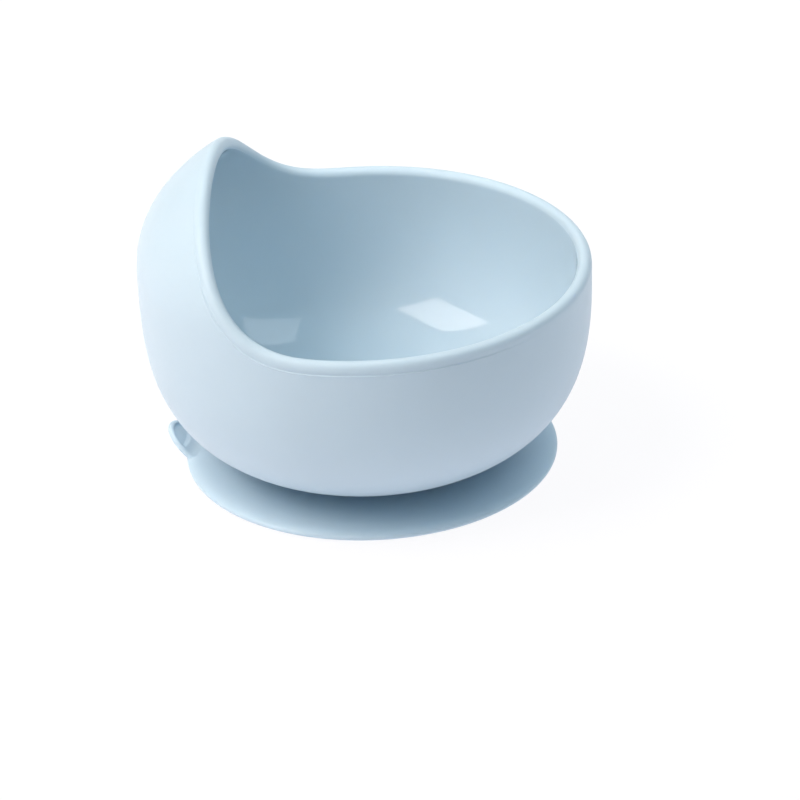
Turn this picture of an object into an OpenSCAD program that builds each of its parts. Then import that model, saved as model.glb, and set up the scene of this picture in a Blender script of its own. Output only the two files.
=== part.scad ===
// Infant feeding bowl with a suction base. The rounded bowl is cut open by one scoop-shaped sweep:
// level along the front, rising in a quarter curve to a tall hood on one side. It sits on a thin,
// flexible suction base through a short neck, and a small tab on the base's edge breaks the suction.
//
// Millimetres, +Z up. The origin is on the table, under the middle of the base.
// The hood and the tab are on the -X side, and the XZ plane is the plane of symmetry.

/* [Bowl] */
// Widest outside diameter
bowl_d = 124; // [118:1:128]
// Height of the widest place above the table
widest_z = 60.5; // [59.5:0.1:62]
// Height of the body's lower half, from the widest place down to its pole
lower_h = 57.4; // [57:0.1:58.5]
// Squareness of the lower half (2 is an ellipse)
lower_n = 3.15; // [2.9:0.05:3.5]
// Height of the body's upper half, as if it closed over the top
upper_h = 37.6; // [35:0.1:40]
// Squareness of the upper half
upper_n = 2.05; // [1.9:0.05:2.2]
// Wall thickness
wall = 4; // [3:0.25:4.5]
// Thickness of the floor over the flat foot
floor_t = 4.5; // [4:0.1:6]

/* [Rim] */
// Height of the middle of the rounded edge along the low front and back
low_rim_z = 57.4; // [55:0.1:59]
// Where the rise to the hood starts, measured from the middle towards the hood
rise_start = 7.2; // [6:0.1:9]
// Run of the rise, to the upright line that it ends on
rise_run = 36.3; // [34:0.1:38]
// Height of the rise's curve, which passes over the top of the hood
rise_h = 62.5; // [58:0.5:66]
// Squareness of the rise's curve
rise_n = 3; // [2.6:0.05:3.2]

/* [Suction base] */
// Outside diameter of the base
base_d = 103.2; // [102:0.2:106]
// Inside diameter of the sealing ring
ring_inner_d = 91; // [88:0.5:92]
// Width of the flat land that seals against the table
land_w = 2.5; // [2:0.1:2.8]
// Thickness of the ring at its rounded outer edge
edge_t = 1.8; // [1.4:0.1:2]
// Clearance above the table under the outer edge
edge_lift = 0.5; // [0.3:0.1:0.6]
// Height of the ring's top where the diaphragm starts
ring_t = 2.6; // [2.4:0.1:3]
// Clearance above the table where the diaphragm starts
ring_lift = 0.5; // [0.3:0.1:0.8]
// Height of the suction hollow's ceiling
hollow_h = 3.6; // [3:0.1:4]

/* [Neck] */
// Height of the flat foot under the bowl
foot_z = 6; // [5.8:0.1:6.4]
// Diameter of the neck
neck_d = 49; // [44:0.5:50]
// Diameter of the plug at the mouth of the bowl's socket
plug_d = 30; // [24:0.5:34]
// How much wider the plug is at its top, on each side
plug_undercut = 2; // [1:0.25:3]
// Height of the plug
plug_h = 2; // [1.6:0.1:2.4]

/* [Release tab] */
// Distance from the middle of the base to the tab's bending line
tab_hinge_x = 49.5; // [49.3:0.1:50]
// Height of the bending line above the table
tab_hinge_z = 1.5; // [1.3:0.1:1.6]
// How steeply the tab stands up from its bending line, in degrees
tab_tilt = 43; // [35:1:52]
// Length of the tab from its bending line to its tip
tab_reach = 9.8; // [8:0.2:11]
// Width of the tab at its root
tab_w = 16.5; // [12:0.5:18]
// Thickness of the tab
tab_t = 1.6; // [1.2:0.1:1.9]
// Width of the raised bead round the finger dish
bead_w = 1.1; // [0.8:0.1:1.6]
// Distance from the bending line to the finger dish
dish_start = 2.9; // [1:0.1:3.5]
// Depth of the finger dish
dish_depth = 0.6; // [0.3:0.1:0.7]
// Gap at the bending line between the tab and the ring
tab_gap = 0.3; // [0.2:0.05:0.4]

/* [Hidden] */
BOWL_BLUE = [0.69, 0.80, 0.88];
BASE_BLUE = [0.62, 0.75, 0.84];
$fn = 96;

bowl_r = bowl_d / 2;
base_r = base_d / 2;
ring_r = ring_inner_d / 2;
neck_r = neck_d / 2;
plug_r = plug_d / 2;
half_wall = wall / 2;
// How fast the wall thickens towards the middle of the floor
FLOOR_POWER = 4;
// Steps round the bowl, and steps along each stretch of its section
TURN_STEPS = 96;
FLOOR_STEPS = 9;
WALL_STEPS = 12;
HEEL_STEPS = 5;
RIM_STEPS = 6;
// Ray angles at which the floor stretch starts, beside the axis, and ends, where the wall stretch starts
FLOOR_START = -84;
FLOOR_TO_WALL = -35;
// Steepest ray that the rim is looked for on, and the halvings that find it
STEEPEST_RAY = 80;
HALVINGS = 24;
// Half of the turn over which the rim's slope is measured, in degrees
SLOPE_SPAN = 1;
// Steps along the diaphragm's curve, and how late that curve rises to the neck
WEB_STEPS = 10;
WEB_POWER = 1.6;
// Room that a cutting shape needs past what it cuts
OVER = 5;

function unit(v) = v / norm(v);

// The body's section is two superellipse quarters. A point on it is found along a ray from the centre
// of the widest circle, at an angle that is negative for the lower half.
function half_height(ray) = ray < 0 ? lower_h : upper_h;
function squareness(ray) = ray < 0 ? lower_n : upper_n;
function ray_length(ray, b, n) =
    pow(pow(cos(ray) / bowl_r, n) + pow(abs(sin(ray)) / b, n), -1 / n);
function outer_point(ray) =
    let (len = ray_length(ray, half_height(ray), squareness(ray)))
    [len * cos(ray), widest_z + len * sin(ray)];
function outer_normal(ray) =
    let (b = half_height(ray), n = squareness(ray), p = outer_point(ray), up = p[1] - widest_z)
    unit([pow(p[0] / bowl_r, n - 1) / bowl_r, sign(up) * pow(abs(up) / b, n - 1) / b]);

// The wall is even, and thickens only where it turns into the floor. The flat foot cuts the lower half's
// pole away, so the thickness there is taken to the pole.
pole_t = foot_z + floor_t - (widest_z - lower_h);
function thickness(ray) =
    wall + (pole_t - wall) * pow(max(0, -outer_normal(ray)[1]), FLOOR_POWER);
function inner_point(ray) = outer_point(ray) - thickness(ray) * outer_normal(ray);
function middle_point(ray) = outer_point(ray) - half_wall * outer_normal(ray);

// Height of the scoop's sweep over a place x: level, then a quarter superellipse, then no limit.
function sweep_z(x) =
    let (along = (-rise_start - x) / rise_run)
    along <= 0 ? low_rim_z
    : along >= 1 ? 10 * low_rim_z
    : low_rim_z + rise_h * (1 - pow(1 - pow(along, rise_n), 1 / rise_n));

// The ray at which the middle of the wall meets the sweep, at a turn measured from the hood.
function above_sweep(turn, ray) =
    let (p = middle_point(ray)) p[1] > sweep_z(-p[0] * cos(turn));
function rim_ray(turn, low = FLOOR_TO_WALL, high = STEEPEST_RAY, left = HALVINGS) =
    let (mid = (low + high) / 2)
    left == 0 ? mid
    : above_sweep(turn, mid) ? rim_ray(turn, low, mid, left - 1)
    : rim_ray(turn, mid, high, left - 1);

// The edge is round across the rim's own direction, so in an upright section through the middle it is
// an ellipse, longer where the rim climbs.
function rim_stretch(turn, ray, up) =
    let (climb = (middle_point(rim_ray(turn + SLOPE_SPAN)) - middle_point(rim_ray(turn - SLOPE_SPAN))) * up,
         run = middle_point(ray)[0] * 2 * SLOPE_SPAN * PI / 180)
    norm([1, climb / run]);
function rim_points(turn, ray) =
    let (out = outer_normal(ray), up = [-out[1], out[0]], mid = middle_point(ray),
         stretch = rim_stretch(turn, ray, up))
    [for (i = [1 : RIM_STEPS - 1]) let (a = 180 * i / RIM_STEPS)
        mid - half_wall * (cos(a) * out - sin(a) * stretch * up)];

// The foot's flat cuts the lower half at this radius, and this is the ray to its edge.
foot_r = bowl_r * pow(1 - pow((widest_z - foot_z) / lower_h, lower_n), 1 / lower_n);
foot_ray = -atan2(widest_z - foot_z, foot_r);

// Section at one turn, from beside the middle of the floor, up the inside, over the rim and down the
// outside to the foot, and then round the socket to beside its middle.
function stretch_rays(from, to, steps) = [for (i = [0 : steps - 1]) from + (to - from) * i / steps];
function section(turn) =
    let (ray = rim_ray(turn),
         up_rays = concat(stretch_rays(FLOOR_START, FLOOR_TO_WALL, FLOOR_STEPS),
                          stretch_rays(FLOOR_TO_WALL, ray, WALL_STEPS), [ray]),
         down_rays = concat(stretch_rays(ray, FLOOR_TO_WALL, WALL_STEPS),
                            stretch_rays(FLOOR_TO_WALL, foot_ray, HEEL_STEPS), [foot_ray]))
    concat([for (a = up_rays) inner_point(a)],
           rim_points(turn, ray),
           [for (a = down_rays) outer_point(a)],
           [[plug_r, foot_z], [plug_r + plug_undercut, foot_z + plug_h]]);

// A closed shell from sections set round the upright axis, with a point on the axis at each end.
module shell_of_sections(sections, top, bottom) {
    turns = len(sections);
    rows = len(sections[0]);
    points = concat(
        [for (i = [0 : turns - 1], p = sections[i]) let (a = 180 + 360 * i / turns)
            [p[0] * cos(a), p[0] * sin(a), p[1]]],
        [[0, 0, top], [0, 0, bottom]]);
    faces = [for (i = [0 : turns - 1]) let (here = i * rows, next = ((i + 1) % turns) * rows)
        each concat(
            [[turns * rows, here, next]],
            [for (j = [0 : rows - 2]) each [[here + j, here + j + 1, next + j],
                                            [here + j + 1, next + j + 1, next + j]]],
            [[turns * rows + 1, next + rows - 1, here + rows - 1]])];
    polyhedron(points = points, faces = faces, convexity = 6);
}

module bowl_shell() {
    color(BOWL_BLUE)
        shell_of_sections([for (i = [0 : TURN_STEPS - 1]) section(360 * i / TURN_STEPS)],
                          foot_z + floor_t, foot_z + plug_h);
}

// Neck of the base, with the plug that is bonded into the socket under the bowl.
module stem_plug() {
    dimple_r = 3;
    dimple_depth = 0.6;
    color(BASE_BLUE)
        rotate_extrude()
            polygon([[0, hollow_h + dimple_depth], [dimple_r, hollow_h + dimple_depth],
                     [dimple_r, hollow_h], [neck_r, hollow_h], [neck_r, foot_z], [plug_r, foot_z],
                     [plug_r + plug_undercut, foot_z + plug_h], [0, foot_z + plug_h]]);
}

// Flexible web between the neck and the sealing ring. Both faces rise late, close to the neck.
function web_z(part, low, high) = low + (high - low) * pow(part, WEB_POWER);
module diaphragm() {
    parts = [for (i = [0 : WEB_STEPS]) i / WEB_STEPS];
    under = [for (s = parts) [ring_r + (neck_r - ring_r) * s, web_z(s, ring_lift, hollow_h)]];
    over = [for (s = parts) [neck_r + (ring_r - neck_r) * s, web_z(1 - s, ring_t, foot_z)]];
    color(BASE_BLUE)
        rotate_extrude()
            polygon(concat(under, over));
}

// Sealing ring: a flat land on the table, a rounded outer edge just above it, and a notch for the
// tab's root.
module seal_ring() {
    land_in = ring_r + 1.5;
    edge_r = edge_t / 2;
    edge_x = base_r - edge_r;
    root_r = tab_t / 2;
    notch_x = tab_hinge_x - root_r - tab_gap;
    color(BASE_BLUE)
        difference() {
            rotate_extrude()
                union() {
                    polygon([[ring_r, ring_lift], [land_in, 0], [land_in + land_w, 0],
                             [edge_x, edge_lift], [edge_x, edge_lift + edge_t], [ring_r, ring_t]]);
                    translate([edge_x, edge_lift + edge_r])
                        circle(r = edge_r);
                }
            translate([-base_r - OVER, -tab_w / 2 - tab_gap, -OVER])
                cube([base_r + OVER - notch_x, tab_w + 2 * tab_gap, 2 * OVER]);
        }
}

// Pull tab: a half-oval plate with a finger dish in its upper face. It stands up from a round root that
// is its bending line.
module release_tab() {
    // The dish keeps one bead's width from the tip and the sides
    dish_r = (tab_reach - bead_w - dish_start) / 2;
    dish_x = dish_start + dish_r;
    side_at_dish = tab_w / 2 * sqrt(1 - pow(dish_x / tab_reach, 2));
    color(BASE_BLUE)
        translate([-tab_hinge_x, 0, tab_hinge_z])
            rotate([0, tab_tilt, 0])
                difference() {
                    union() {
                        intersection() {
                            scale([tab_reach, tab_w / 2, 1])
                                cylinder(h = tab_t, r = 1, center = true);
                            translate([-tab_reach - OVER, -tab_w, -tab_t])
                                cube([tab_reach + OVER, 2 * tab_w, 2 * tab_t]);
                        }
                        rotate([90, 0, 0])
                            cylinder(h = tab_w, d = tab_t, center = true);
                    }
                    translate([-dish_x, 0, tab_t / 2])
                        scale([dish_r, side_at_dish - bead_w, dish_depth])
                            sphere(r = 1);
                }
}

bowl_shell();
stem_plug();
diaphragm();
seal_ring();
release_tab();
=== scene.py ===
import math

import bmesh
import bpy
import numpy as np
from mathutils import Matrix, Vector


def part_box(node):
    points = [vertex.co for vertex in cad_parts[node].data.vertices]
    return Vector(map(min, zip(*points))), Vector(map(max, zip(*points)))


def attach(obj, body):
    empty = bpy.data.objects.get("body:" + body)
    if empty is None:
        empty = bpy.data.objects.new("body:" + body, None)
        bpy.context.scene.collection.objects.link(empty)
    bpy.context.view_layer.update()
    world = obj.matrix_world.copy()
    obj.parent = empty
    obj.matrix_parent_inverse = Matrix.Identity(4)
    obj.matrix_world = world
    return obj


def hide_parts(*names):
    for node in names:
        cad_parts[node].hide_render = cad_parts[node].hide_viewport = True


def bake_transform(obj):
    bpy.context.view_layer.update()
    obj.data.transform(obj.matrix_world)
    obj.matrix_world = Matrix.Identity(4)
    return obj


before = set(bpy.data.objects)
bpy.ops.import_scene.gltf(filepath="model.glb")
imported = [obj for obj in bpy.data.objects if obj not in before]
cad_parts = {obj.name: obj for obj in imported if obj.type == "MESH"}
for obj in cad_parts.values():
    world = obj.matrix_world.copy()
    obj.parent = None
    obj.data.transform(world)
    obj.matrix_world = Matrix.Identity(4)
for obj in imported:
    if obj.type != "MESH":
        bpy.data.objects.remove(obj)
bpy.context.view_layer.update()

# Infant suction bowl. Three visible pieces stand for the five CAD nodes:
#   bowl          the firm moulding, for bowl_shell
#   suction_base  the soft moulding, for seal_ring, diaphragm and stem_plug
#   pull_tab      the release tab, for release_tab
# The pieces' sizes are in millimetres and become metres as each mesh is made.

MM = 0.001


# ---------------------------------------------------------------- sizes, as in the CAD design
def box_mm(node):
    low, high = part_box(node)
    return np.array(low) / MM, np.array(high) / MM


BOWL_LOW, BOWL_HIGH = box_mm("bowl_shell")
RING_HIGH = box_mm("seal_ring")[1]
WEB_LOW, WEB_HIGH = box_mm("diaphragm")
STEM_HIGH = box_mm("stem_plug")[1]

# The bowl's outside: a superellipse quarter below its widest circle, and another above it
BOWL_R = (BOWL_HIGH[0] - BOWL_LOW[0]) / 2
WIDEST_Z = 60.5
LOWER_H, LOWER_N = 57.4, 3.15
UPPER_H, UPPER_N = 37.6, 2.05
WALL = 4.0
FLOOR_T = 4.5
FLOOR_POWER = 4        # how late the wall thickens towards the middle of the floor

# The scoop's sweep: level, then rising to the hood, which is on the -X side
LOW_RIM_Z = 57.4
RISE_START, RISE_RUN = 7.2, 36.3
RISE_H, RISE_N = 62.5, 3.0
ABOVE_ALL = 10 * LOW_RIM_Z

# The suction base
FOOT_Z = BOWL_LOW[2]
POLE_T = FOOT_Z + FLOOR_T - (WIDEST_Z - LOWER_H)
BASE_R = RING_HIGH[1]
RING_R = WEB_HIGH[0]
RING_T = RING_HIGH[2]
RING_LIFT = WEB_LOW[2]
HOLLOW_H = 3.6
NECK_R = STEM_HIGH[0]
PLUG_R, PLUG_UNDERCUT = 15.0, 2.0
PLUG_TOP = STEM_HIGH[2]
WEB_POWER = 1.6        # how late the web's curve rises to the neck
LAND_IN = 1.5          # the sealing land starts this far outside the web
LAND_W = 2.5
EDGE_T, EDGE_LIFT = 1.8, 0.5

# The pull tab, from its bending line
TAB_HINGE_X, TAB_HINGE_Z = -49.5, 1.5
TAB_TILT = math.radians(43)
TAB_REACH = 9.8
TAB_HALF_W = 8.25
TAB_T = 1.6

TURNS = 320            # steps round the bowl and the base
TURN = np.arange(TURNS) * 360 / TURNS


# ---------------------------------------------------------------- the bowl's section
FLOOR_TO_WALL = -35    # ray at which the floor's stretch of the section ends
STEEPEST_RAY = 80      # and the steepest one on which the rim is looked for
HALVINGS = 40
SLOPE_STEP = 0.5       # the rim's slope is measured this far to each side, in degrees of turn


def outer_wall(ray):
    """Points (r, z) on the outside and the normals there, by ray angle from the widest circle's centre."""
    ray = np.asarray(ray, float)
    height = np.where(ray < 0, LOWER_H, UPPER_H)
    power = np.where(ray < 0, LOWER_N, UPPER_N)
    c = np.cos(np.radians(ray))
    s = np.sin(np.radians(ray))
    length = ((c / BOWL_R) ** power + (np.abs(s) / height) ** power) ** (-1 / power)
    r, up = length * c, length * s
    normal_r = (r / BOWL_R) ** (power - 1) / BOWL_R
    normal_z = np.sign(up) * (np.abs(up) / height) ** (power - 1) / height
    size = np.hypot(normal_r, normal_z)
    point = np.stack([r, WIDEST_Z + up], -1)
    normal = np.stack([normal_r / size, normal_z / size], -1)
    return point, normal


def inner_wall(ray):
    """Points on the inside: an even wall, which thickens only where it turns into the floor."""
    point, normal = outer_wall(ray)
    thickness = WALL + (POLE_T - WALL) * np.maximum(0, -normal[..., 1]) ** FLOOR_POWER
    return point - thickness[..., None] * normal


def middle_wall(ray):
    point, normal = outer_wall(ray)
    return point - WALL / 2 * normal


def sweep_z(x):
    """Height of the scoop's sweep: level, then a quarter superellipse that ends upright."""
    along = np.clip((-RISE_START - x) / RISE_RUN, 0, 1)
    rise = RISE_H * (1 - (1 - along**RISE_N) ** (1 / RISE_N))
    return np.where(along >= 1, ABOVE_ALL, LOW_RIM_Z + rise)


def rim_rays(turn):
    """Ray angle at which the middle of the wall meets the sweep; turn is in degrees from the hood."""
    low = np.full(turn.shape, float(FLOOR_TO_WALL))
    high = np.full(turn.shape, float(STEEPEST_RAY))
    for _ in range(HALVINGS):
        mid = (low + high) / 2
        point = middle_wall(mid)
        above = point[..., 1] > sweep_z(-point[..., 0] * np.cos(np.radians(turn)))
        high = np.where(above, mid, high)
        low = np.where(above, low, mid)
    return (low + high) / 2


def rim_stretches(turn, ray):
    """How much longer the round edge is in an upright section, where the rim climbs."""
    change = middle_wall(rim_rays(turn + SLOPE_STEP)) - middle_wall(rim_rays(turn - SLOPE_STEP))
    normal = outer_wall(ray)[1]
    climb = change[..., 1] * normal[..., 0] - change[..., 0] * normal[..., 1]
    run = middle_wall(ray)[..., 0] * math.radians(2 * SLOPE_STEP)
    return np.hypot(1, climb / run)


# ---------------------------------------------------------------- mesh helpers
SHARP_ANGLE = math.radians(50)


def turned_mesh(name, rows, first_pole, last_pole):
    """A closed, smooth mesh from rows of points (rows, turns, 3), with a pole at each end."""
    count, turns, _ = rows.shape
    verts = [tuple(p) for p in (rows.reshape(-1, 3) * MM)]
    faces = []
    for j in range(count - 1):
        for i in range(turns):
            k = (i + 1) % turns
            faces.append((j * turns + i, j * turns + k, (j + 1) * turns + k, (j + 1) * turns + i))
    for pole, row, flip in ((first_pole, 0, False), (last_pole, count - 1, True)):
        verts.append(tuple(np.array(pole) * MM))
        for i in range(turns):
            k = (i + 1) % turns
            ends = (row * turns + i, row * turns + k)
            faces.append((len(verts) - 1, *(ends if flip else ends[::-1])))
    mesh = bpy.data.meshes.new(name)
    mesh.from_pydata(verts, [], faces)
    mesh.update()
    obj = bpy.data.objects.new(name, mesh)
    bpy.context.scene.collection.objects.link(obj)
    face_outwards(mesh)
    mesh.shade_smooth()
    mesh.set_sharp_from_angle(angle=SHARP_ANGLE)
    return obj


def face_outwards(mesh):
    work = bmesh.new()
    work.from_mesh(mesh)
    bmesh.ops.recalc_face_normals(work, faces=work.faces)
    if work.calc_volume(signed=True) < 0:
        bmesh.ops.reverse_faces(work, faces=work.faces)
    work.to_mesh(mesh)
    work.free()


def ease(part):
    """From 0 to 1 with a soft start and end."""
    part = np.clip(part, 0, 1)
    return part * part * (3 - 2 * part)


def around(section):
    """Rows of 3-D points from a section (rows, TURNS, 2) of radii and heights; turn 0 faces -X."""
    angle = math.pi + np.radians(TURN)
    x = section[..., 0] * np.cos(angle)
    y = section[..., 0] * np.sin(angle)
    return np.stack([x, y, section[..., 1]], -1)


def all_round(section):
    """The same section (rows, 2) at each turn."""
    return np.repeat(np.array(section)[:, None], TURNS, 1)


# ---------------------------------------------------------------- the bowl
FLOOR_START = -89.0    # the ray beside the axis, where the inside starts
FLOOR_STEPS = 44
WALL_STEPS = 34
WALL_CROWDING = 1.3    # the wall's steps crowd together a little towards the rim
RIM_STEPS = 23
HEEL_STEPS = 64
TABLE_STEPS = 3000     # steps in the table that turns distances down the outside into rays

RIDGE_AT = 1.45        # parting line, down the outside from where the rim's rounding ends
RIDGE_H = 0.13
RIDGE_W = 0.11
GROOVE_AT = 1.02       # shallow groove between the rim and the line
GROOVE_D = 0.13
GROOVE_W = 0.32
FADE_FROM = (50, 118)  # the line and the groove are whole between these turns and fade outside them
FADE_OVER = 30
FADE_TO = 0.12
GLOSS_END = 2          # the gloss inside ends this many rows up the rim's rounding

# Distances down the outside: the rim to the line, closely across the line, and on below it
DOWN_TO_LINE = np.linspace(0, 1.1, 9)
ACROSS_LINE = RIDGE_AT + RIDGE_W * np.linspace(-2.2, 2.2, 10)
BELOW_LINE = [1.85, 2.0, 2.3, 2.8, 3.4]


def inside_section(ray):
    """From the middle of the floor up to the rim."""
    floor = np.linspace(FLOOR_START, FLOOR_TO_WALL, FLOOR_STEPS)[:-1]
    share = 1 - (1 - np.linspace(0, 1, WALL_STEPS)[:-1]) ** WALL_CROWDING
    wall = FLOOR_TO_WALL + (ray - FLOOR_TO_WALL) * share[:, None]
    return inner_wall(np.concatenate([np.repeat(floor[:, None], TURNS, 1), wall, ray[None]]))


def rim_section(ray, stretch):
    """Half round over the wall's edge, stretched so that it is round across a rim that climbs."""
    out = outer_wall(ray)[1]
    up = np.stack([-out[:, 1], out[:, 0]], -1)
    arc = np.radians(np.linspace(0, 180, RIM_STEPS))[1:-1]
    across = -np.cos(arc)[:, None, None] * out
    along = (np.sin(arc)[:, None] * stretch)[..., None] * up
    return middle_wall(ray) + WALL / 2 * (across + along)


def line_section(ray, stretch):
    """The groove and the parting line, at distances that are measured down from the rim."""
    table_ray = np.linspace(-60, STEEPEST_RAY, TABLE_STEPS)
    steps = np.hypot(*np.diff(outer_wall(table_ray)[0], axis=0).T)
    table_arc = np.concatenate([[0], np.cumsum(steps)])
    down = np.unique(np.round(np.concatenate([DOWN_TO_LINE, ACROSS_LINE, BELOW_LINE]), 3))
    at_arc = np.interp(ray, table_ray, table_arc) - down[:, None] * stretch
    rays = np.interp(at_arc, table_arc, table_ray)
    side = np.minimum(TURN, 360 - TURN)
    outside = np.maximum(FADE_FROM[0] - side, side - FADE_FROM[1])
    fade = 1 - (1 - FADE_TO) * ease(outside / FADE_OVER)
    uneven = 1 + 0.25 * np.sin(np.radians(7 * TURN + 40)) + 0.15 * np.sin(np.radians(23 * TURN))
    ridge = RIDGE_H * np.exp(-(((down - RIDGE_AT) / RIDGE_W) ** 2))[:, None] * uneven * fade
    groove = GROOVE_D * np.exp(-(((down - GROOVE_AT) / GROOVE_W) ** 2))[:, None] * fade
    point, normal = outer_wall(rays)
    return point + (ridge - groove)[..., None] * normal, rays[-1]


def heel_section(start):
    """From the given rays down the rest of the outside to the flat foot."""
    foot_r = BOWL_R * (1 - ((WIDEST_Z - FOOT_Z) / LOWER_H) ** LOWER_N) ** (1 / LOWER_N)
    foot_ray = -math.degrees(math.atan2(WIDEST_Z - FOOT_Z, foot_r))
    share = np.linspace(0, 1, HEEL_STEPS)[1:]
    return outer_wall(start + (foot_ray - start) * share[:, None])[0]


def make_bowl():
    """One closed section at each turn: inside, rim, outside, foot and socket; glossy inside only."""
    ray = rim_rays(TURN)
    stretch = rim_stretches(TURN, ray)
    inside = inside_section(ray)
    near, near_end = line_section(ray, stretch)
    socket = all_round([[PLUG_R, FOOT_Z], [PLUG_R + PLUG_UNDERCUT, PLUG_TOP]])
    section = np.concatenate([inside, rim_section(ray, stretch), near, heel_section(near_end), socket])
    obj = turned_mesh("bowl", around(section), (0, 0, FOOT_Z + FLOOR_T), (0, 0, PLUG_TOP))
    wall_faces = (len(inside) + GLOSS_END - 1) * TURNS
    pole_faces = (len(section) - 1) * TURNS
    for face in obj.data.polygons:
        at_pole = pole_faces <= face.index < pole_faces + TURNS
        face.material_index = 1 if face.index < wall_faces or at_pole else 0
    return obj


# ---------------------------------------------------------------- the suction base
WEB_STEPS = 30
RING_STEPS = 20
RING_POWER, RING_ROUNDING = 4, 2.2     # the curve of the ring's top, from the web to the edge
LIP_STEPS = 9
FOOT_RING_R = 20       # a ring of points on the foot, between the plug and the neck's edge
CEILING_RINGS = (18, 10)               # rings of points on the hollow's flat ceiling
DIMPLE_R = 3.0
DIMPLE_D = 0.6
DIMPLE_LEAN = 0.3      # how far its wall leans out
DIMPLE_STEPS = 5
DIMPLE_RING_R = 1.2    # a ring of points on its flat top


def web_z(part, low, high):
    return low + (high - low) * part**WEB_POWER


def make_base():
    """The disc, its web, neck and plug in one piece: a section turned round the axis."""
    part = np.linspace(0, 1, WEB_STEPS)
    web_over = np.stack([NECK_R + (RING_R - NECK_R) * part, web_z(1 - part, RING_T, FOOT_Z)], -1)
    edge_z = EDGE_LIFT + EDGE_T / 2
    out = np.sin(np.radians(np.linspace(0, 90, RING_STEPS)))[1:]
    ring_z = edge_z + (RING_T - edge_z) * (1 - out**RING_POWER) ** (1 / RING_ROUNDING)
    ring_top = np.stack([RING_R + (BASE_R - RING_R) * out, ring_z], -1)
    arc = np.radians(np.linspace(0, -90, LIP_STEPS))[1:]
    lip = np.stack([BASE_R - EDGE_T * (1 - np.cos(arc)) / 2, edge_z + EDGE_T / 2 * np.sin(arc)], -1)
    land_in = RING_R + LAND_IN
    web_under = np.stack([RING_R + (NECK_R - RING_R) * part, web_z(part, RING_LIFT, HOLLOW_H)], -1)
    arc = np.radians(np.linspace(0, 90, DIMPLE_STEPS))
    dimple = np.stack([DIMPLE_R + DIMPLE_LEAN * np.cos(arc), HOLLOW_H + DIMPLE_D * np.sin(arc)], -1)
    section = np.concatenate(
        [
            [[PLUG_R + PLUG_UNDERCUT, PLUG_TOP], [PLUG_R, FOOT_Z], [FOOT_RING_R, FOOT_Z]],
            web_over,
            ring_top,
            lip,
            [[land_in + LAND_W, 0], [land_in, 0]],
            web_under,
            [[r, HOLLOW_H] for r in CEILING_RINGS],
            dimple,
            [[DIMPLE_RING_R, HOLLOW_H + DIMPLE_D]],
        ]
    )
    rows = around(all_round(section))
    return turned_mesh("suction_base", rows, (0, 0, PLUG_TOP), (0, 0, HOLLOW_H + DIMPLE_D))


# ---------------------------------------------------------------- the pull tab
TAB_ROOT = -2.2        # how far the root runs back into the disc
FLARE_RUN = 4.0        # the sides flare out into the disc's edge over this length
FLARE = 1.0
ROOT_RISE = 0.9        # the upper face runs down from the disc's top in a fillet
ROOT_RUN = 3.0
ROOT_SINK_AT = -1.3    # from here the root dips into the disc
ROOT_SINK = 2.5
ROOT_DROP = 0.35       # share of the fillet that is lost towards the sides
TAB_LOWEST = 0.4       # the hidden part of the root stays inside the disc
CORNER_ROUNDING = 30   # smoothing passes on the outline, which round the root's corners
DISH_START = 2.4       # the finger dish begins here, along the tab
DISH_BEAD = 1.1        # and keeps this far inside the outline
DISH_BOW = 1.6         # its start bows towards the tip at the sides by this much
DISH_SLOPE = 0.9       # length of the slope down to its flat bottom
DISH_END_SLOPE = 1.5
DISH_D = 0.5

OUTLINE_STEPS = 200
SIDE_STEPS, TIP_STEPS, BACK_STEPS = 30, 200, 40
MIDDLE_AT = 0.55       # the middle of the faces' rings, as a share of the reach
UNDER_SHARES = (0.3, 0.65, 1.0)
EDGE_START = -72       # the rounded edge's angles, from below to the top
EDGE_STEPS = 12
TOP_END = 0.12         # the innermost ring on top, as a share of the outline
TOP_STEPS = 22
MIDDLE_SHARE = 0.01    # the least share of the outline, so that nothing is divided by zero


def tab_outline():
    """Even steps from the root along one side, round the tip and back, and the outward directions."""
    tip = TAB_REACH * np.sin(np.radians(np.linspace(0, 90, TIP_STEPS)))[1:]
    along = np.concatenate([np.linspace(TAB_ROOT, 0, SIDE_STEPS), tip])
    half = TAB_HALF_W * np.sqrt(1 - (np.clip(along, 0, None) / TAB_REACH) ** 2)
    half += FLARE * np.clip(1 - (along - TAB_ROOT) / FLARE_RUN, 0, 1) ** 2
    side = np.stack([along, half], -1)
    loop = np.concatenate([side, side[-2::-1] * (1, -1)])
    back = np.linspace(loop[-1], loop[0], BACK_STEPS)[1:-1]
    loop = np.concatenate([loop, back, loop[:1]])
    steps = np.concatenate([[0], np.cumsum(np.hypot(*np.diff(loop, axis=0).T))])
    at = np.linspace(0, steps[-1], OUTLINE_STEPS, endpoint=False)
    outline = np.stack([np.interp(at, steps, loop[:, 0]), np.interp(at, steps, loop[:, 1])], -1)
    for _ in range(CORNER_ROUNDING):
        outline = (np.roll(outline, 1, 0) + 2 * outline + np.roll(outline, -1, 0)) / 4
    ahead = np.roll(outline, -1, 0) - np.roll(outline, 1, 0)
    outward = np.stack([-ahead[:, 1], ahead[:, 0]], -1)
    outward /= np.linalg.norm(outward, axis=1)[:, None]
    if np.sum(outward * (outline - outline.mean(0))) < 0:
        outward = -outward
    return outline, outward


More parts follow.
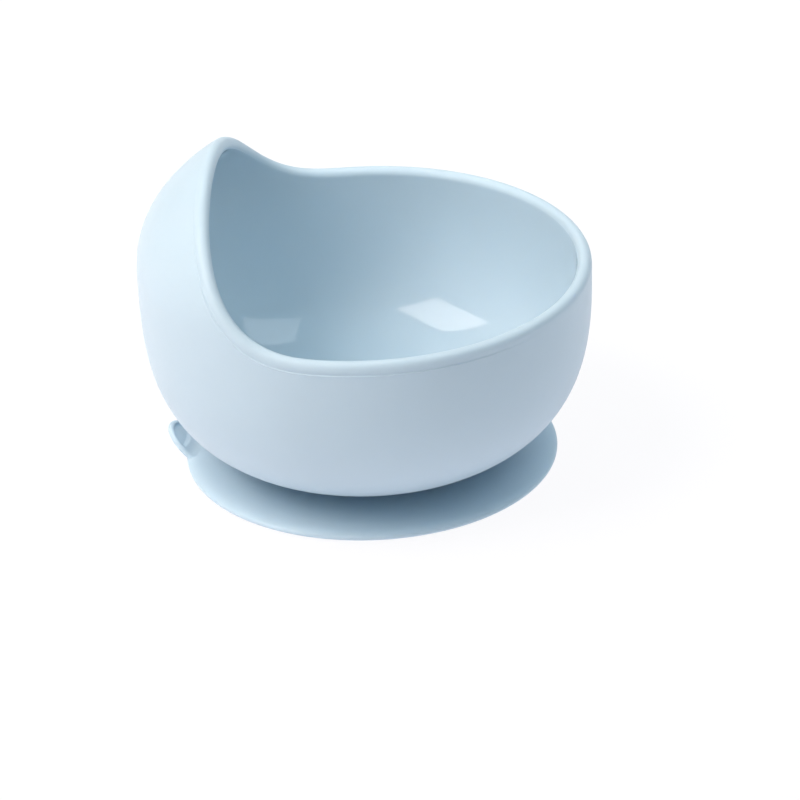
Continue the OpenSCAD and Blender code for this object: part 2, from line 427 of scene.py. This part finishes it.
def tab_top(flat):
    """Height of the upper face over the plate's flat top: the fillet at the root, and the dish."""
    along, across = flat[..., 0], flat[..., 1]
    share = np.maximum(np.hypot(along / TAB_REACH, across / TAB_HALF_W), MIDDLE_SHARE)
    inset = (1 - share) * np.hypot(along, across) / share
    curve = DISH_START + DISH_BOW * (across / TAB_HALF_W) ** 2
    dish = DISH_D * ease((inset - DISH_BEAD) / DISH_SLOPE) * ease((along - curve) / DISH_END_SLOPE)
    sides = np.clip(np.abs(across) / TAB_HALF_W, 0, 1) ** 4
    fillet = ROOT_RISE * np.clip(1 - along / ROOT_RUN, 0, 2) ** 2 * (1 - ROOT_DROP * sides)
    sink = ROOT_SINK * np.clip(ROOT_SINK_AT - along, 0, None)
    return fillet - dish - sink


def on_tab(flat, height):
    """Points in space, from places on the tab's middle plane and heights over it."""
    c, s = math.cos(TAB_TILT), math.sin(TAB_TILT)
    x = TAB_HINGE_X - flat[..., 0] * c + height * s
    z = TAB_HINGE_Z + flat[..., 0] * s + height * c
    return np.stack([x, flat[..., 1], np.maximum(z, TAB_LOWEST)], -1)


def make_tab():
    """A half-oval plate with a rounded edge, a finger dish in its upper face, and a flared root."""
    edge_r = TAB_T / 2
    outline, outward = tab_outline()
    crest = outline - edge_r * outward
    crest_top = tab_top(crest)
    middle = np.array([MIDDLE_AT * TAB_REACH, 0.0])
    rings = []
    for share in UNDER_SHARES:
        rings.append((middle + (crest - middle) * share, np.full(len(crest), -edge_r)))
    for angle in np.radians(np.linspace(EDGE_START, 90, EDGE_STEPS)):
        flat = outline - edge_r * (1 - math.cos(angle)) * outward
        rise = edge_r * math.sin(angle) + crest_top * max(0, math.sin(angle))
        rings.append((flat, rise))
    for share in np.linspace(1, TOP_END, TOP_STEPS)[1:]:
        flat = middle + (crest - middle) * share
        rings.append((flat, edge_r + tab_top(flat)))
    rows = np.array([on_tab(flat, height) for flat, height in rings])
    return turned_mesh("pull_tab", rows, on_tab(middle, -edge_r), on_tab(middle, edge_r - DISH_D))


# ---------------------------------------------------------------- materials
BLUE = (0.5275, 0.652, 0.7355)
SOFT_BLUE_PAINTED_LIGHT = (0.568, 0.706, 0.80)    # painted light: the base and tab's blue is lighter than the bowl's, for light the lamps don't bring to them
DRIFT = (0.975, 1.02)               # how far the colour drifts, darker and lighter
POLISH_DRIFT = (0.93, 1.07)         # and the roughness
MIDDLE_NOISE = (0.3, 0.7)           # the stretch of the noise that these drifts follow
DRIFT_SCALE, POLISH_SCALE, WAVE_SCALE = 26, 420, 60
GRAIN_HEIGHT = 0.00004
WAVE_HEIGHT = 0.0004
TRANSLUCENCY = 0.12
SOAK = 0.0025                       # how deep light goes into the silicone, in metres


def new_material(name, shader_type="ShaderNodeBsdfPrincipled"):
    """A material with one shader, joined to its output."""
    material = bpy.data.materials.new(name)
    material.use_nodes = True
    nodes, links = material.node_tree.nodes, material.node_tree.links
    nodes.clear()
    output = nodes.new("ShaderNodeOutputMaterial")
    shader = nodes.new(shader_type)
    links.new(shader.outputs[0], output.inputs["Surface"])
    return material, nodes, links, shader


def silicone(name, colour, roughness, grain_size, grain, waviness, sheen=0.0, specular=0.5):
    """Moulded silicone: faint colour drift, a fine moulded grain, and slow waviness in the surface."""
    material, nodes, links, shader = new_material(name)
    place = nodes.new("ShaderNodeTexCoord").outputs["Object"]

    def noise(scale, detail, rough=0.5):
        node = nodes.new("ShaderNodeTexNoise")
        node.inputs["Scale"].default_value = scale
        node.inputs["Detail"].default_value = detail
        node.inputs["Roughness"].default_value = rough
        links.new(place, node.inputs["Vector"])
        return node.outputs["Fac"]

    ramp = nodes.new("ShaderNodeValToRGB")
    for element, position, factor in zip(ramp.color_ramp.elements, MIDDLE_NOISE, DRIFT):
        element.position = position
        element.color = (*[min(1, v * factor) for v in colour], 1)
    links.new(noise(DRIFT_SCALE, 3), ramp.inputs["Fac"])
    links.new(ramp.outputs["Color"], shader.inputs["Base Color"])

    polish = nodes.new("ShaderNodeMapRange")
    polish.inputs["From Min"].default_value = MIDDLE_NOISE[0]
    polish.inputs["From Max"].default_value = MIDDLE_NOISE[1]
    polish.inputs["To Min"].default_value = roughness * POLISH_DRIFT[0]
    polish.inputs["To Max"].default_value = roughness * POLISH_DRIFT[1]
    links.new(noise(POLISH_SCALE, 4, 0.6), polish.inputs["Value"])
    links.new(polish.outputs["Result"], shader.inputs["Roughness"])

    fine = nodes.new("ShaderNodeBump")
    fine.inputs["Strength"].default_value = grain
    fine.inputs["Distance"].default_value = GRAIN_HEIGHT
    links.new(noise(1 / grain_size, 3, 0.6), fine.inputs["Height"])
    slow = nodes.new("ShaderNodeBump")
    slow.inputs["Strength"].default_value = waviness
    slow.inputs["Distance"].default_value = WAVE_HEIGHT
    links.new(noise(WAVE_SCALE, 2), slow.inputs["Height"])
    links.new(fine.outputs["Normal"], slow.inputs["Normal"])
    links.new(slow.outputs["Normal"], shader.inputs["Normal"])

    shader.inputs["IOR"].default_value = 1.42
    shader.inputs["Specular IOR Level"].default_value = specular
    shader.inputs["Subsurface Weight"].default_value = TRANSLUCENCY
    shader.inputs["Subsurface Radius"].default_value = (0.8, 1.0, 1.2)
    shader.inputs["Subsurface Scale"].default_value = SOAK
    shader.inputs["Sheen Weight"].default_value = sheen
    shader.inputs["Sheen Roughness"].default_value = 0.4
    return material


SATIN = silicone("silicone_satin", BLUE, 0.5, grain_size=0.00022, grain=0.5, waviness=0.15, sheen=0.1)
GLOSS = silicone("silicone_gloss", BLUE, 0.035, grain_size=0.0004, grain=0.03, waviness=0.03, specular=0.37)
# The base and tab get a blue lightened with painted light, lighter than the bowl's own.
SOFT = silicone("silicone_soft", SOFT_BLUE_PAINTED_LIGHT, 0.45, grain_size=0.00025, grain=0.4, waviness=0.15, sheen=0.1)

# ---------------------------------------------------------------- the pieces
bowl = make_bowl()
bowl.data.materials.append(SATIN)
bowl.data.materials.append(GLOSS)
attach(bowl, "bowl")
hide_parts("bowl_shell")

base = make_base()
base.data.materials.append(SOFT)
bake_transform(base)
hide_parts("seal_ring", "diaphragm", "stem_plug")

tab = make_tab()
tab.data.materials.append(SOFT)
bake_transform(tab)
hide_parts("release_tab")


# ---------------------------------------------------------------- floor, light and camera, in metres
FLOOR_SIZE = 6.0       # half its side
FLOOR_ALBEDO = 0.5
FLOOR_GLOW = (0.58, 0.56, 0.62)     # the table's own light, as on one that is lit from underneath
WHITE_SHARE = 0.80     # this much of what the camera sees of the table is even white
WHITE_GLOW = 0.985
OBJECT_MIDDLE = Vector((0, 0, 0.04))
KEY_CORNERS = [(-0.28, 0.32), (0.28, 0.40), (0.28, -0.40), (-0.38, -0.37)]
SKY = (0.37, 0.48, 0.53)            # straight overhead; it fades to nothing at the horizon


def staged_face(name, corners, material, matrix=Matrix()):
    """One flat four-sided face of the studio's own, with its corners in its own plane."""
    mesh = bpy.data.meshes.new(name)
    mesh.from_pydata([(u, v, 0) for u, v in corners], [], [(0, 1, 2, 3)])
    mesh.materials.append(material)
    obj = bpy.data.objects.new(name, mesh)
    obj.matrix_world = matrix
    bpy.context.scene.collection.objects.link(obj)


def make_floor():
    """A plain white table. Its own light reaches the object; the camera sees it nearly evenly white."""
    material, nodes, links, shader = new_material("floor_white")
    shader.inputs["Base Color"].default_value = (FLOOR_ALBEDO, FLOOR_ALBEDO, FLOOR_ALBEDO, 1)
    shader.inputs["Roughness"].default_value = 0.9
    shader.inputs["Specular IOR Level"].default_value = 0.0
    shader.inputs["Emission Color"].default_value = (*FLOOR_GLOW, 1)
    shader.inputs["Emission Strength"].default_value = 1.0
    white = nodes.new("ShaderNodeEmission")
    white.inputs["Strength"].default_value = WHITE_GLOW
    share = nodes.new("ShaderNodeMath")
    share.operation = "MULTIPLY"
    links.new(nodes.new("ShaderNodeLightPath").outputs["Is Camera Ray"], share.inputs[0])
    share.inputs[1].default_value = WHITE_SHARE
    mix = nodes.new("ShaderNodeMixShader")
    links.new(share.outputs[0], mix.inputs["Fac"])
    links.new(shader.outputs["BSDF"], mix.inputs[1])
    links.new(white.outputs["Emission"], mix.inputs[2])
    links.new(mix.outputs["Shader"], nodes["Material Output"].inputs["Surface"])
    corners = [(-1, -1), (1, -1), (1, 1), (-1, 1)]
    staged_face("floor", [(FLOOR_SIZE * u, FLOOR_SIZE * v) for u, v in corners], material)


def turned_to(place, facing, along=None):
    """A matrix for a lamp that lights the way it faces, with its width along the given direction."""
    back = -Vector(facing).normalized()
    side = Vector(along) if along else Vector((0, 0, 1)).cross(back)
    side = (side - back * side.dot(back)).normalized()
    up = back.cross(side)
    return Matrix.Translation(Vector(place)) @ Matrix((side, up, back)).transposed().to_4x4()


def softbox(name, place, width, height, radiance, facing=None, along=None):
    """A rectangular lamp of a given radiance. Without a facing, it is fill: it faces the object and
    doesn't show in reflections."""
    strength = max(radiance)
    data = bpy.data.lights.new(name, "AREA")
    data.shape = "RECTANGLE"
    data.size = width
    data.size_y = height
    data.energy = strength * math.pi * width * height
    data.color = [v / strength for v in radiance]
    obj = bpy.data.objects.new(name, data)
    obj.visible_glossy = facing is not None
    obj.matrix_world = turned_to(place, facing or OBJECT_MIDDLE - Vector(place), along)
    bpy.context.scene.collection.objects.link(obj)


def light_panel(name, place, facing, along, corners, radiance):
    """A glowing panel with four unequal sides, which shows in reflections."""
    material, _, _, light = new_material(name, "ShaderNodeEmission")
    light.inputs["Color"].default_value = (*radiance, 1)
    staged_face(name, corners, material, turned_to(place, facing, along))


def around_object(azimuth, elevation, distance=1.6):
    a, e = math.radians(azimuth), math.radians(elevation)
    level = distance * math.cos(e)
    return (level * math.cos(a), level * math.sin(a), OBJECT_MIDDLE.z + distance * math.sin(e))


def make_lights():
    """A panel and a softbox that show as the two reflections in the gloss inside, and soft fill."""
    key_place, key_facing, key_along = (-0.553, -0.151, 0.826), (0.1, 0.53, -0.84), (-0.86, -0.39, -0.34)
    dim_place, dim_facing, dim_along = (0.416, 0.306, 0.857), (-0.23, 0.87, -0.43), (-0.96, -0.11, 0.27)
    light_panel("key", key_place, key_facing, key_along, KEY_CORNERS, (7.8, 7.15, 6.75))
    softbox("dim", dim_place, 0.309, 1.325, (2.7, 2.87, 2.95), dim_facing, dim_along)
    softbox("left_low", around_object(203, 44), 1.65, 0.8, (1.38, 1.24, 1.06))
    softbox("left_high", around_object(212, 62), 1.5, 0.85, (1.0, 1.02, 1.03))
    softbox("back_right", around_object(70, 42), 2.2, 0.9, (0.84, 0.76, 0.71))
    softbox("back_left", around_object(130, 35), 1.2, 0.85, (0.15, 0.15, 0.15))
    softbox("front", around_object(285, 55), 1.0, 0.85, (0.25, 0.26, 0.27))


def make_world():
    world = bpy.data.worlds.new("studio")
    world.use_nodes = True
    nodes, links = world.node_tree.nodes, world.node_tree.links
    axes = nodes.new("ShaderNodeSeparateXYZ")
    links.new(nodes.new("ShaderNodeTexCoord").outputs["Generated"], axes.inputs[0])
    links.new(axes.outputs["Z"], nodes["Background"].inputs["Strength"])
    nodes["Background"].inputs["Color"].default_value = (*SKY, 1)
    bpy.context.scene.world = world


make_floor()
make_lights()
make_world()

# The camera stands on the -Y side, 5 degrees round towards +X, so that the hood is on the left,
# and looks down by 28 degrees.
CAMERA_AZIMUTH = math.radians(4.91)
CAMERA_ELEVATION = math.radians(27.97)
CAMERA_ROLL = math.radians(-2.23)
CAMERA_DISTANCE = 1.24
CAMERA_LENS = 201.3
SENSOR_WIDTH = 36
CAMERA_REACH = 20
CAMERA_AIM = Vector((0.0082, 0.0007, 0.0158))


def make_camera():
    data = bpy.data.cameras.new("camera")
    data.lens = CAMERA_LENS
    data.sensor_width = SENSOR_WIDTH
    data.clip_end = CAMERA_REACH
    obj = bpy.data.objects.new("camera", data)
    level = math.cos(CAMERA_ELEVATION)
    back = Vector(
        (math.sin(CAMERA_AZIMUTH) * level, -math.cos(CAMERA_AZIMUTH) * level, math.sin(CAMERA_ELEVATION))
    )
    side = Vector((math.cos(CAMERA_AZIMUTH), math.sin(CAMERA_AZIMUTH), 0))
    up = back.cross(side)
    turned_side = math.cos(CAMERA_ROLL) * side + math.sin(CAMERA_ROLL) * up
    turned_up = back.cross(turned_side)
    place = CAMERA_AIM + CAMERA_DISTANCE * back
    frame_axes = Matrix((turned_side, turned_up, back)).transposed().to_4x4()
    obj.matrix_world = Matrix.Translation(place) @ frame_axes
    bpy.context.scene.collection.objects.link(obj)
    bpy.context.scene.camera = obj


make_camera()
bpy.context.scene.view_settings.view_transform = "Standard"
